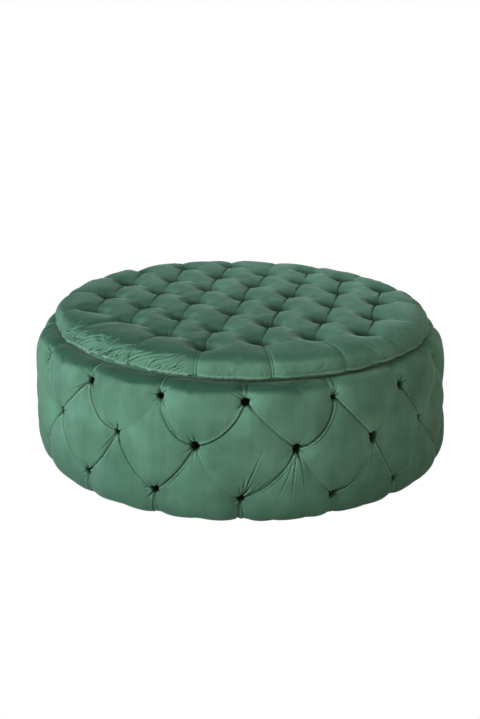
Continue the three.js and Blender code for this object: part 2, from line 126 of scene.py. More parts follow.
# The velvet crumpled in the pit of one tuft, given like the long gathers
CRUMPLED_TUFT = ("top", 15)
PIT_WRINKLES = [(238, 15, 3.5, 5), (262, 20, 5.0, 4), (283, 17, 4.5, 5), (303, 22, 5.0, 4), (325, 15, 4.0, 5)]

# The wider tuft holes that face the photograph, in millimetres
HOLE_WIDTHS = {
    ("top", 14): 6.4, ("top", 2): 7.0, ("middle", 0): 6.4, ("middle", 1): 8.6,
    ("low", 1): 7.4, ("low", 2): 7.0,
}

# The lid's line in section, from the axis out over the shoulder, down the border and in under the board
LID_LINE = [
    (0.0000, 0.3745), (0.1500, 0.3738), (0.2800, 0.3715), (0.3700, 0.3685), (0.4000, 0.3665),
    (0.4200, 0.3635), (0.4350, 0.3580), (0.4450, 0.3490), (0.4490, 0.3400), (0.4500, 0.3320),
    (0.4485, 0.3265), (0.4440, 0.3225), (0.4385, 0.3185),
]
# How much higher the lid's padded border stands at the left, tapering to nothing at the right
LEFT_BORDER_LIFT = 0.009
# The stretch of the lid's border, in degrees round from +X, whose velvet is crumpled on the slant
CRUMPLED_STRETCH = (205, 252)
# Round the board, from its lower edge up and in over its upper face
BOARD_LINE = [(0.4364, 0.3180), (0.4364, 0.3333), (0.3000, 0.3333), (0.1000, 0.3333)]
LID_X = 4 * MM

# Mesh spacing before its one subdivision, and how a sector is spun and then copied round
COARSE_STEP = 4.0 * MM
SECTOR_STEPS = 48
DOUBLINGS = 4

# The size of the cells in which points on an unrolled surface are looked up
CELL_SIZE = 20 * MM

# A frame ring of 32 flats reaches inwards to this share of its radius in the middle of a flat
FACET_INSET = math.cos(math.pi / 32)
# Thin cloths: the lining's thickness, a third of its threads' pitch as drawn, and how finely each is cut up
LINING_CLOTH = 0.7 * MM
LINING_THREAD = 1.2 * MM
DISC_SEGMENTS = 320
DISC_RINGS = 14
WALL_RINGS = 22
# A third of what a light and a dark ply take up together, and the width of a growth line in the pine
PLY_THIRD = 1.5 * MM
PINE_GRAIN = 2.5 * MM

# The stitch across the bottom of a tuft: half its length, its height, the twine's radius, and its facets
STITCH_REACH = 3.5 * MM
STITCH_RISE = 1.6 * MM
TWINE_RADIUS = 0.8 * MM
STITCH_STEPS = 7
STITCH_SIDES = 6

# The cloth step: the velvet's stuff, the frames, and for each body the spare velvet as a share of its size,
# the pressure under it and how far it may move at most
VELVET_CLOTH = {
    "quality": 3, "mass": 0.2, "tension_stiffness": 12, "compression_stiffness": 12, "shear_stiffness": 4,
    "bending_stiffness": 0.05, "air_damping": 3, "vertex_group_mass": "held", "pin_stiffness": 1,
    "use_pressure": True,
}
CLOTH_FRAMES = 16
SIDE_CLOTH = (0.004, 1.0, 4 * MM)
LID_CLOTH = (0.008, 2.0, 5 * MM)
# How far the foam rises by itself, and how unevenly
SIDE_RISE = (2.5 * MM, 1.2 * MM)
LID_RISE = (2.0 * MM, 0.9 * MM)

# The lid's tuft lattice: its middle tuft, and the steps along a row and from row to row
LATTICE_MIDDLE = np.array([0.0055, 0.0295])
ALONG_ROW = np.array([0.1187, 0.0390])
DOWN_ROWS = np.array([-0.0280, -0.1292])
TUFT_REACH = 0.405
# The steps to the tufts round one, and from where on a tuft that lacks one of them is pleated to the hem
LATTICE_RING = ((0, 1), (1, 1), (1, 0), (0, -1), (-1, -1), (-1, 0))
PLEATED_FROM = 0.27
# The gathers along the hem, the slanting crumples, and how far in from the edge the hem lies
HEM_GATHERS = 170
CRUMPLES = 44
HEM_INSET = 13 * MM


def linear(hex_colour):
    """An sRGB hex colour as the linear colour that a shader takes."""
    parts = [int(hex_colour[i:i + 2], 16) / 255 for i in (1, 3, 5)]
    return tuple(p / 12.92 if p <= 0.04045 else ((p + 0.055) / 1.055) ** 2.4 for p in parts) + (1.0,)


def add_node(tree, kind, fed=(), **settings):
    """Adds a node and sets its sockets and properties by name. In each (value, input) pair that it is fed,
    the value is a socket to follow, an sRGB hex colour or a number."""
    made = tree.nodes.new(kind)
    for name, value in settings.items():
        socket = name.replace("_", " ")
        if socket in made.inputs:
            made.inputs[socket].default_value = value
        else:
            setattr(made, name, value)
    for value, target in fed:
        if isinstance(value, bpy.types.NodeSocket):
            tree.links.new(value, made.inputs[target])
        else:
            made.inputs[target].default_value = linear(value) if isinstance(value, str) else value
    return made


def new_material(name):
    material = bpy.data.materials.new(name)
    material.use_nodes = True
    tree = material.node_tree
    tree.nodes.clear()
    return material, tree


def finish(tree, shader, kind="ShaderNodeOutputMaterial"):
    add_node(tree, kind, [(shader.outputs[0], "Surface")])


def dress(tree, colour, bump=None, **settings):
    """A material's shader, from its colour and a bump's height, strength and real depth."""
    fed = [(colour, "Base Color")]
    if bump:
        height, strength, depth = bump
        made = add_node(tree, "ShaderNodeBump", [(height, "Height")], Strength=strength, Distance=depth)
        fed.append((made.outputs["Normal"], "Normal"))
    finish(tree, add_node(tree, "ShaderNodeBsdfPrincipled", fed, **settings))


def object_place(tree, scale=None):
    """Places in the object's own space in metres, drawn out along an axis where its scale is under 1."""
    place = add_node(tree, "ShaderNodeTexCoord").outputs["Object"]
    if scale:
        place = add_node(tree, "ShaderNodeMapping", [(place, 0)], Scale=scale).outputs[0]
    return place


def noise(tree, place, size, detail, **settings):
    """Soft patches of about a real size."""
    made = add_node(tree, "ShaderNodeTexNoise", [(place, 0)], Scale=1 / size, Detail=detail, **settings)
    return made.outputs["Fac"]


def bands(tree, place, axis, third, **settings):
    """Bands across an axis, at a real pitch of about three times the given one."""
    scale = 1 / (10 * third)
    made = add_node(tree, "ShaderNodeTexWave", [(place, 0)], bands_direction=axis, Scale=scale, **settings)
    return made.outputs["Fac"]


def mixed(tree, factor, first, second):
    """A blend of two colours."""
    made = add_node(tree, "ShaderNodeMix", [(factor, 0), (first, 6), (second, 7)], data_type="RGBA")
    return made.outputs[2]


def product(tree, first, second):
    return add_node(tree, "ShaderNodeMath", [(first, 0), (second, 1)], operation="MULTIPLY").outputs[0]


def ramp(tree, factor, stops):
    """A colour ramp over a factor, from (place, colour) stops."""
    made = add_node(tree, "ShaderNodeValToRGB", [(factor, "Fac")])
    elements = made.color_ramp.elements
    while len(elements) < len(stops):
        elements.new(0.5)
    for element, (place, colour) in zip(elements, stops):
        element.position = place
        element.color = linear(colour)
    return made.outputs["Color"]


def velvet_material():
    """Cut-pile velvet: a dark body colour under a pale sheen, with the pile brushed in soft patches and faint
    upright streaks. Painted shade (darker green, and near black in the folds and tufts) and a painted
    highlight (paler green on the lips) are mixed in where the pieces' attributes ask for them."""
    material, tree = new_material("green_cut_pile_velvet")
    place = object_place(tree)
    brushed = noise(tree, place, 90 * MM, 3.0, Roughness=0.55)
    streaks = noise(tree, object_place(tree, (1, 1, 0.07)), 16 * MM, 2.0)
    both = add_node(tree, "ShaderNodeMix", [(brushed, 2), (streaks, 3)], data_type="FLOAT", Factor=0.2)
    colour = ramp(tree, both.outputs[0], [(0.33, "#48705c"), (0.50, "#547e6a"), (0.69, "#5f8d77")])
    # The painted shade, the painted highlight on lips and the painted shade in folds and tufts, as each piece
    # sets them
    painted_shade, lip, deep = (
        add_node(tree, "ShaderNodeAttribute", attribute_name=name).outputs["Fac"]
        for name in ("painted_shade", "lip", "deep")
    )
    # Painted shade: darker green on faces that look up or to the front, and where each piece adds more
    with_painted_shade = mixed(tree, painted_shade, "#2a5140", colour)
    # Painted highlight: paler green on the raised lips of the pleats, gathers and hem
    with_painted_highlight = mixed(tree, product(tree, lip, 0.45), with_painted_shade, "#8fbba5")
    # Painted shade: near black in the folds and deep in the tuft hollows
    sunk = mixed(tree, deep, with_painted_highlight, "#0c1a13")
    pile = noise(tree, place, 1.6 * MM, 2.0)
    dress(
        tree, sunk, (pile, 0.25, 0.6 * MM), Roughness=0.82, IOR=1.45, Specular_IOR_Level=0.25,
        Sheen_Weight=0.35, Sheen_Roughness=0.35, Sheen_Tint=linear("#b5d6c6"),
    )
    return material


def pairs_at(places, along, pairs):
    """Pairs of numbers that are known along a line, at other places on it."""
    return np.column_stack([np.interp(places, along, pairs[:, 0]), np.interp(places, along, pairs[:, 1])])


def smooth_line(points, step):
    """Evenly spaced points on a smooth curve through the given ones, and their places along it."""
    p = np.array(points, float)
    p = np.vstack([2 * p[0] - p[1], p, 2 * p[-1] - p[-2]])
    dense = []
    for a, b, c, d in zip(p[:-3], p[1:-2], p[2:-1], p[3:]):
        t = np.linspace(0, 1, 40, endpoint=False)[:, None]
        curve = 2 * b + (c - a) * t + (2 * a - 5 * b + 4 * c - d) * t ** 2
        dense.append(0.5 * (curve + (3 * b - a - 3 * c + d) * t ** 3))
    dense = np.vstack(dense + [p[-2][None]])
    length = np.concatenate([[0], np.cumsum(np.hypot(*np.diff(dense, axis=0).T))])
    even = np.linspace(0, length[-1], max(2, round(length[-1] / step)) + 1)
    return pairs_at(even, length, dense), even


def line_normals(line, outward):
    """Unit normals of a line in section; outward is +1 or -1 by the way the line runs."""
    along = np.gradient(line, axis=0)
    along /= np.linalg.norm(along, axis=1)[:, None]
    return outward * np.column_stack([along[:, 1], -along[:, 0]])


def read(items, name, size=3):
    """One property of every item, as an array with a row for each."""
    values = np.empty(len(items) * size)
    items.foreach_get(name, values)
    return values.reshape(-1, size)


def positions(mesh):
    return read(mesh.vertices, "co")


def vertex_normals(mesh):
    return read(mesh.vertex_normals, "vector")


def attribute(mesh, name):
    return read(mesh.attributes[name].data, "value", 1)[:, 0]


def place_vertices(mesh, co):
    mesh.vertices.foreach_set("co", np.ascontiguousarray(co, float).ravel())
    mesh.update()


def new_object(name, data):
    made = bpy.data.objects.new(name, data)
    bpy.context.scene.collection.objects.link(made)
    return made


def new_piece(name, mesh, material):
    piece = new_object(name, mesh)
    mesh.materials.append(material)
    mesh.polygons.foreach_set("use_smooth", np.ones(len(mesh.polygons), bool))
    return piece


def mesh_of(bm, name):
    mesh = bpy.data.meshes.new(name)
    bm.to_mesh(mesh)
    bm.free()
    return mesh


def revolved(name, outer, along, back, sector_steps=SECTOR_STEPS):
    """A closed line in section turned once round the Z axis: a part of a turn is spun, then doubled up.

    Each vertex keeps its place along the outer line, and whether it lies on that line at all."""
    bm = bmesh.new()
    place = bm.verts.layers.float.new("along")
    shown = bm.verts.layers.float.new("shown")
    verts = []
    line = [(p, a, 1) for p, a in zip(outer, along)] + [(p, along[-1], 0) for p in back]
    for (r, z), distance, seen in line:
        vert = bm.verts.new((r, 0, z))
        vert[place] = distance
        vert[shown] = seen
        verts.append(vert)
    edges = [bm.edges.new(pair) for pair in zip(verts, verts[1:] + verts[:1])]
    turn = 2 * math.pi / 2 ** DOUBLINGS
    bmesh.ops.spin(bm, geom=verts + edges, axis=(0, 0, 1), cent=(0, 0, 0), angle=turn, steps=sector_steps)
    for _ in range(DOUBLINGS):
        copy = bmesh.ops.duplicate(bm, geom=bm.verts[:] + bm.edges[:] + bm.faces[:])["geom"]
        copied = [g for g in copy if isinstance(g, bmesh.types.BMVert)]
        bmesh.ops.rotate(bm, verts=copied, cent=(0, 0, 0), matrix=Matrix.Rotation(turn, 3, "Z"))
        turn *= 2
    bmesh.ops.remove_doubles(bm, verts=bm.verts, dist=1e-5)
    bmesh.ops.recalc_face_normals(bm, faces=bm.faces)
    return mesh_of(bm, name)


def set_attribute(mesh, name, values):
    layer = mesh.attributes.new(name, "FLOAT", "POINT")
    layer.data.foreach_set("value", np.ascontiguousarray(values, float))


def path_distance(points, path):
    """For each point: distance to a path, the share of the path reached, and the side it lies on."""
    a, b = path[:-1], path[1:]
    run = b - a
    square = (run ** 2).sum(1)
    offset = points[:, None, :] - a[None]
    t = np.clip((offset * run[None]).sum(2) / square[None], 0, 1)
    gap = offset - t[..., None] * run[None]
    distance = np.sqrt((gap ** 2).sum(2))
    best = distance.argmin(1)
    rows = np.arange(len(points))
    cross = run[best, 0] * gap[rows, best, 1] - run[best, 1] * gap[rows, best, 0]
    return distance[rows, best], (best + t[rows, best]) / len(a), np.sign(cross)


class Ground:
    """Points on an unrolled surface, kept in square cells so that those near a place are quickly found."""

    KEY = 100000

    def __init__(self, points, wrap=None):
        self.points = points
        self.wrap = wrap
        self.cell = wrap / round(wrap / CELL_SIZE) if wrap else CELL_SIZE
        inside = np.column_stack([points[:, 0] % wrap, points[:, 1]]) if wrap else points
        keys = self.key(*np.floor(inside / self.cell).astype(int).T)
        self.order = np.argsort(keys, kind="stable")
        self.keys = keys[self.order]

    def key(self, column, row):
        if self.wrap:
            column = column % round(self.wrap / self.cell)
        return (column + self.KEY // 2) * self.KEY + row + self.KEY // 2

    def near(self, centre, reach):
        """Indices of points within a square round a centre, and their places relative to it."""
        low = np.floor((centre - reach) / self.cell).astype(int)
        high = np.floor((centre + reach) / self.cell).astype(int)
        found = []
        for column in range(low[0], high[0] + 1):
            ends = [self.key(column, low[1]), self.key(column, high[1]) + 1]
            first, last = np.searchsorted(self.keys, ends)
            found.append(self.order[first:last])
        found = np.concatenate(found)
        gap = self.points[found] - centre
        if self.wrap:
            gap[:, 0] = (gap[:, 0] + self.wrap / 2) % self.wrap - self.wrap / 2
        inside = np.abs(gap).max(1) < reach
        return found[inside], gap[inside]


class Tufting:
    """Sewn tufts, the creases between them and their gathers, on an unrolled surface.

    A gather is a row: its place, angle, length, depth, width, bend and start."""

    def __init__(self, seed):
        self.rng = np.random.default_rng(seed)
        self.creases = []
        self.tufts = []
        self.gathers = []

    def add_crease(self, path, fade, depths, widths, lips, valley, valley_width, lip_side=None, seconds=()):
        """A crease whose depth, width and lip are drawn between limits; all its sizes are in millimetres."""
        depth, width, lip = (self.rng.uniform(*limits) * MM for limits in (depths, widths, lips))
        lip_side = lip_side or self.rng.choice([-1, 1])
        second = self.rng.choice(seconds) * MM if seconds else 0
        self.creases.append({
            "path": path, "fade": fade, "depth": depth, "width": width, "lip": lip, "lip_side": lip_side,
            "second": second, "valley": valley * MM, "valley_width": valley_width * MM,
        })

    def add_gathers(self, place, count, angles, longest, depths):
        """Random gathers between two angles that radiate from a tuft, their sizes in millimetres."""
        for _ in range(count):
            self.gathers.append((
                place, self.rng.uniform(*angles), self.rng.uniform(0.55, 1.0) * (longest * MM),
                self.rng.uniform(*depths) * MM, self.rng.uniform(1.8, 2.6) * MM,
                self.rng.uniform(-4, 4), self.rng.uniform(1, 5) * MM,
            ))

    @staticmethod
    def beside(ground, crease, margin):
        """The points near a crease: their indices, distances, shares of its length and sides."""
        centre = crease["path"].mean(0)
        path = crease["path"] - centre
        inside, gap = ground.near(centre, np.abs(path).max() + margin)
        return inside, *path_distance(gap, path)

    def broad(self, ground):
        """The foam's own form: wide valleys along the creases and wide hollows round the tufts."""
        valley = np.zeros(len(ground.points))
        for crease in self.creases:
            inside, distance, _, _ = self.beside(ground, crease, 2.6 * crease["valley_width"])
            wide = crease["valley"] * np.exp(-(distance / crease["valley_width"]) ** 1.2)
            valley[inside] = np.maximum(valley[inside], wide)
        height = -valley
        for tuft in self.tufts:
            inside, gap = ground.near(tuft["place"], 3 * tuft["hollow_width"])
            distance = np.hypot(*gap.T)
            height[inside] -= tuft["hollow"] * np.exp(-(distance / tuft["hollow_width"]) ** tuft["power"])
        return height

    def hold(self, ground):
        """How firmly the twine and the creases hold the velvet down, 0 to 1."""
        held = np.zeros(len(ground.points))
        for crease in self.creases:
            inside, distance, _, _ = self.beside(ground, crease, 8 * MM)
            held[inside] = np.maximum(held[inside], 0.35 * (distance < 3 * MM))
        for tuft in self.tufts:
            inside, gap = ground.near(tuft["place"], 10 * MM)
            held[inside] = np.maximum(held[inside], 1.0 * (np.hypot(*gap.T) < 5 * MM))
        return held

    def fine(self, ground):
        """The velvet's sharp detail: pleat edges, gathers that radiate from the tufts, and the tuft holes."""
        height = np.zeros(len(ground.points))
        for crease in self.creases:
            width = crease["width"]
            inside, distance, share, side = self.beside(ground, crease, 9 * width)
            signed = distance * side * crease["lip_side"]
            fade = np.interp(share, *crease["fade"])
            line = -crease["depth"] * np.exp(-np.abs(signed / width) ** 1.6)
            lip = crease["lip"] * np.exp(-((signed - 2.1 * width) / (1.1 * width)) ** 2)
            second = -crease["second"] * np.exp(-((signed - 3.9 * width) / (0.9 * width)) ** 2)
            second *= np.sin(np.clip(share * 1.25 - 0.12, 0, 1) * math.pi)
            height[inside] += (line + lip + second) * fade
        for place, angle, length, depth, width, bend, start in self.gathers:
            inside, gap = ground.near(place, 2.2 * length)
            c, s = math.cos(angle), math.sin(angle)
            along = gap[:, 0] * c + gap[:, 1] * s
            across = gap[:, 1] * c - gap[:, 0] * s + bend * along ** 2
            begun = np.clip((along - start) / (4 * MM), 0, 1)
            x = across / (width * (0.7 + 0.8 * along.clip(0) / length))
            ends = begun * np.exp(-(along / length) ** 3)
            height[inside] -= depth * ends * (1 - 1.5 * x ** 2) * np.exp(-x ** 2)
        for tuft in self.tufts:
            inside, gap = ground.near(tuft["place"], 4 * tuft["hole_width"])
            distance = np.hypot(*(gap * tuft["oval"]).T)
            height[inside] -= tuft["hole"] * np.exp(-(distance / tuft["hole_width"]) ** 3.2)
        return height


def waves(points, rng, count, shortest, longest):
    """Smooth unevenness in about -1 to 1: a sum of random waves."""
    total = np.zeros(len(points))
    for _ in range(count):
        direction = rng.normal(size=points.shape[1])
        direction /= np.linalg.norm(direction)
        length = math.exp(rng.uniform(math.log(shortest), math.log(longest)))
        total += np.sin(points @ direction * 2 * math.pi / length + rng.uniform(0, 2 * math.pi))
    return total / math.sqrt(count)


def smoothstep(low, high, x):
    t = np.clip((x - low) / (high - low), 0, 1)
    return t * t * (3 - 2 * t)


def sagging_path(upper, lower, sag):
    """The fold from a tuft to one below it: it drops steeply, then sweeps level like the foot of a puff."""
    t = np.linspace(0, 1, 22)
    level = sag * (1 - np.cos(t * math.pi / 2)) + (1 - sag) * t
    drop = sag * np.sin(t * math.pi / 2) + (1 - sag) * t
    return upper + (lower - upper) * np.column_stack([level, drop])


def side_tufting(along_of):
    """The drum's tufting on its unrolled side: x runs round the drum, y along the line from the hem."""
    tufting = Tufting(7)
    rng = tufting.rng
    step = SIDE_ROUND / TUFT_COLUMNS
    start = (TUFT_PHASE - math.pi / 2) * SIDE_REFERENCE_RADIUS
    places = {}
    for row, height in ROW_HEIGHTS.items():
        for column in range(TUFT_COLUMNS):
            stray = np.array(SIDE_STRAYS.get((row, column), rng.uniform(-6, 6, 2))) * MM
            shift = 0.5 if row == "middle" else 0
            places[row, column] = np.array([start + (column + shift) * step, along_of(height)]) + stray
    top_end = along_of(RIM_HEIGHT) + 20 * MM
    for column in range(TUFT_COLUMNS):
        top, middle, low = (places[row, column] for row in ROW_HEIGHTS)
        turn = np.array([SIDE_ROUND if column == TUFT_COLUMNS - 1 else 0, 0])
        after = (column + 1) % TUFT_COLUMNS
        next_top = places["top", after] + turn
        next_low = places["low", after] + turn
        for upper, lower, name, leftward in (
            (top, middle, ("top", column), 0), (next_top, middle, ("top", after), 1),
            (middle, low, ("middle", column), 1), (middle, next_low, ("middle", column), 0),
        ):
            guess = (
                rng.uniform(0.05, 0.8), 1,
                rng.choice([0.1, 0.8, 1.1], p=[0.25, 0.35, 0.4]), rng.uniform(0.3, 1.2),
            )
            sag, *strength = SIDE_FOLDS.get(name, (guess, guess))[leftward]
            tufting.add_crease(
                sagging_path(upper, lower, sag), ([0, 0.5, 1], strength), (4.2, 6.0), (1.35, 1.7), (1.4, 2.4),
                valley=2.6 + 2.4 * min(strength[1], 1), valley_width=21, seconds=(0, 2.5, 3.5),
            )
        for tuft, end in ((top, top_end), (low, LOWEST_FOLDS_END)):
            for lean in (-1, 1):
                foot = tuft[0] + lean * rng.uniform(2, 7) * MM
                path = np.array([tuft, [foot, 0.6 * tuft[1] + 0.4 * end], [foot + lean * 2 * MM, end]])
                tufting.add_crease(
                    path, ([0, 1], [1, rng.uniform(0.5, 1)]), (1.6, 3.4), (1.4, 1.9), (0.5, 1.2),
                    valley=6.5, valley_width=15, lip_side=lean,
                )
    for (row, column), place in places.items():
        tufting.tufts.append({
            "place": place, "hollow": 9 * MM, "hollow_width": 20 * MM, "power": 1.5, "hole": 20 * MM,
            "hole_width": HOLE_WIDTHS.get((row, column), rng.uniform(4.8, 6.0)) * MM,
            "oval": rng.uniform(0.75, 1.2, 2),
        })
        for angle, length, depth, begin in LONG_GATHERS.get((row, column), ()):
            sizes = (length * MM, depth * MM, 1.7 * MM)
            tufting.gathers.append((place, math.radians(angle), *sizes, rng.uniform(-1, 1), begin * MM))
        tufting.add_gathers(place, 8, (0.2, math.pi - 0.2), 27, (1.8, 3.4))
        tufting.add_gathers(place, 4, (math.pi + 0.6, 2 * math.pi - 0.6), 26, (1.6, 3.0))
        if row == "middle":
            tufting.add_gathers(place, 2, (1.5 * math.pi - 0.45, 1.5 * math.pi + 0.45), 42, (2.0, 3.4))
        if row == "low":
            side = rng.choice([0.0, 0.5 * math.pi])
            tufting.add_gathers(place, 3, (side + 0.5, side + 1.2), 46, (2.0, 3.4))
    for angle, length, depth, begin in PIT_WRINKLES:
        sizes = (length * MM, depth * MM, 1.6 * MM)
        tufting.gathers.append((places[CRUMPLED_TUFT], math.radians(angle), *sizes, 0.0, begin * MM))
    return tufting


def swell(piece, held, slack, pressure, most):
    """Lets the velvet swell and wrinkle as cloth over its foam, held at its tufts, hems and back."""
    start = positions(piece.data)
    group = piece.vertex_groups.new(name="held")
    for level in np.unique(held[held > 0]):
        group.add(np.flatnonzero(held == level).tolist(), float(level), "REPLACE")
    cloth = piece.modifiers.new("cloth", "CLOTH")
    settings = {**VELVET_CLOTH, "shrink_min": -slack, "uniform_pressure_force": pressure}
    for name, value in settings.items():
        setattr(cloth.settings, name, value)
    cloth.settings.effector_weights.gravity = 0
    cloth.collision_settings.use_collision = False
    cloth.point_cache.frame_end = CLOTH_FRAMES
    for step in range(1, CLOTH_FRAMES + 1):
        bpy.context.scene.frame_set(step)
    moved = positions(piece.evaluated_get(bpy.context.evaluated_depsgraph_get()).data) - start
    piece.modifiers.clear()
    piece.vertex_groups.clear()
    bpy.context.scene.frame_set(1)
    length = np.linalg.norm(moved, axis=1)
    moved *= np.minimum(1, most / np.maximum(length, 1e-9))[:, None]
    place_vertices(piece.data, start + moved)


def upholster(piece, foam, held, cloth):
    """Gives a body its foam's form, lets the velvet swell over it, and subdivides it once."""
    place_vertices(piece.data, foam)
    swell(piece, held, *cloth)
    smooth = piece.modifiers.new("smooth", "SUBSURF")
    smooth.levels = smooth.render_levels = 1
    piece.data = bpy.data.meshes.new_from_object(piece.evaluated_get(bpy.context.evaluated_depsgraph_get()))
    piece.modifiers.clear()
    return piece.data


def stitch_tufts(name, tufting, ground, co, away, material, shift=0):
    """A short loop of twine across the bottom of each tuft, sunk into the velvet at both ends.

    The tufts face away from the origin along the axes that are 1 in away."""
    bm = bmesh.new()
    turns = np.linspace(0, 2 * math.pi, STITCH_SIDES, endpoint=False)
    for tuft in tufting.tufts:
        inside, _ = ground.near(tuft["place"], 4 * MM)
        base = co[inside].mean(0) + shift
        out = base * away
        out /= math.hypot(*out)
        across = np.cross(out, (0, 0, 1) if abs(out[2]) < 0.5 else (1, 0, 0))
        across /= np.linalg.norm(across)
        third = np.cross(out, across)
        rings = []
        for t in np.linspace(-1, 1, STITCH_STEPS):
            centre = base + across * t * STITCH_REACH + out * STITCH_RISE * (1 - 2.2 * t * t)
            ring = [centre + TWINE_RADIUS * (math.cos(a) * out + math.sin(a) * third) for a in turns]
            rings.append([bm.verts.new(v) for v in ring])
        for before, after in zip(rings, rings[1:]):
            for i in range(STITCH_SIDES):
                bm.faces.new((before[i - 1], before[i], after[i], after[i - 1]))
        bm.faces.new(rings[0])
        bm.faces.new(rings[-1])
    bmesh.ops.recalc_face_normals(bm, faces=bm.faces)
    return new_piece(name, mesh_of(bm, name), material)


def drum_upholstery(material, twine):
    """The drum's velvet over its foam, as one closed body with a tufted outside."""
    outer, along = smooth_line(SIDE_LINE, COARSE_STEP)
    highest = int(outer[:, 1].argmax())
    tufting = side_tufting(lambda z: float(np.interp(z, outer[:highest, 1], along[:highest])))
    mesh = revolved("drum_velvet", outer, along, SIDE_BACK)
    piece = new_piece("drum_velvet", mesh, material)

    def unrolled(mesh):
        co = positions(mesh)
        angle = np.arctan2(co[:, 1], co[:, 0])
        place = np.column_stack([angle * SIDE_REFERENCE_RADIUS, attribute(mesh, "along")])
        shown = attribute(mesh, "shown") > 0.999
        # Nothing moves at the hem's end, on the flat rim under the lid and inside the mouth
        line_radius = np.interp(place[:, 1], along, outer[:, 0])
        free = smoothstep(0.436, 0.466, line_radius) * smoothstep(0.010, 0.065, place[:, 1]) * shown
        return co, angle, Ground(place, SIDE_ROUND), free

    co, angle, ground, free = unrolled(mesh)
    rise, uneven = SIDE_RISE
    wavy = waves(co, np.random.default_rng(21), 14, 0.07, 0.25)
    height = (tufting.broad(ground) + rise + uneven * wavy) * free
    normal = pairs_at(ground.points[:, 1], along, line_normals(outer, 1.0))
    co[:, 0] += normal[:, 0] * height * np.cos(angle)
    co[:, 1] += normal[:, 0] * height * np.sin(angle)
    foot = 1 - smoothstep(0.03, 0.15, co[:, 2])
    co[:, 0] += FOOT_LEAN * foot * (0.35 + 0.65 * np.cos(angle).clip(0)) * free
    co[:, 2] = (co[:, 2] + normal[:, 1] * height).clip(LOWEST_FOAM)
    held = np.maximum(tufting.hold(ground), 1.0 * (free < 0.02))
    mesh = upholster(piece, co, held, SIDE_CLOTH)
    co, _, ground, free = unrolled(mesh)
    fine = tufting.fine(ground)
    co += vertex_normals(mesh) * (fine * free)[:, None]
    co[:, 2] = co[:, 2].clip(LOWEST_VELVET)
    place_vertices(mesh, co)
    # Painted shade: up-facing velvet painted darker everywhere but towards the drum's right, and all of it
    # darker towards the floor
    rightness = co[:, 0] / np.hypot(co[:, 0], co[:, 1])
    top_shade_share = 0.95 - 0.85 * smoothstep(0.1, 0.6, rightness)
    shaded = 0.42 * (1 - smoothstep(0.03, 0.20, co[:, 2]))
    paint_shade_and_highlight(mesh, tufting.broad(ground), fine, (0.40, 0.90), top_shade_share, (-8 * MM, -28 * MM), 1.0, shaded)
    return piece, stitch_tufts("drum_twine", tufting, ground, co, (1, 1, 0), twine)


def paint_shade_and_highlight(mesh, broad, fine, up_range, top_shade_share, pit_shade_range, deepest_pit_shade, shaded):
    """Painted shade and highlight for the velvet: painted shade on faces that look up or to the front and
    where shaded adds more, painted shade in the folds and deep in the tufts, and a painted highlight on the
    lips.
    """
    normals = vertex_normals(mesh)
    # Painted shade on faces that look up, by the given share, and more on those that look to the front
    up = smoothstep(*up_range, normals[:, 2])
    front = np.clip(-normals[:, 1], 0, 1) * up
    set_attribute(mesh, "painted_shade", np.clip(1 - top_shade_share * up - 0.35 * front - shaded, 0, 1))
    # Painted highlight on the raised lips of the fine relief
    set_attribute(mesh, "lip", smoothstep(0.3 * MM, 1.7 * MM, fine))
    # Painted shade in the folds, and deep in the tuft hollows
    fold_shade = 0.75 * smoothstep(-1.2 * MM, -5.0 * MM, fine)
    set_attribute(mesh, "deep", np.maximum(fold_shade, deepest_pit_shade * smoothstep(*pit_shade_range, broad + fine)))


def lid_tufts():
    """The lid's tufts by lattice index, in plan round the lid's own centre."""
    found = {}
    rng = np.random.default_rng(5)
    for i in range(-6, 7):
        for j in range(-6, 7):
            place = LATTICE_MIDDLE + i * ALONG_ROW + j * DOWN_ROWS
            if np.hypot(*place) < TUFT_REACH:
                found[i, j] = place + rng.uniform(-4, 4, 2) * MM
    return found


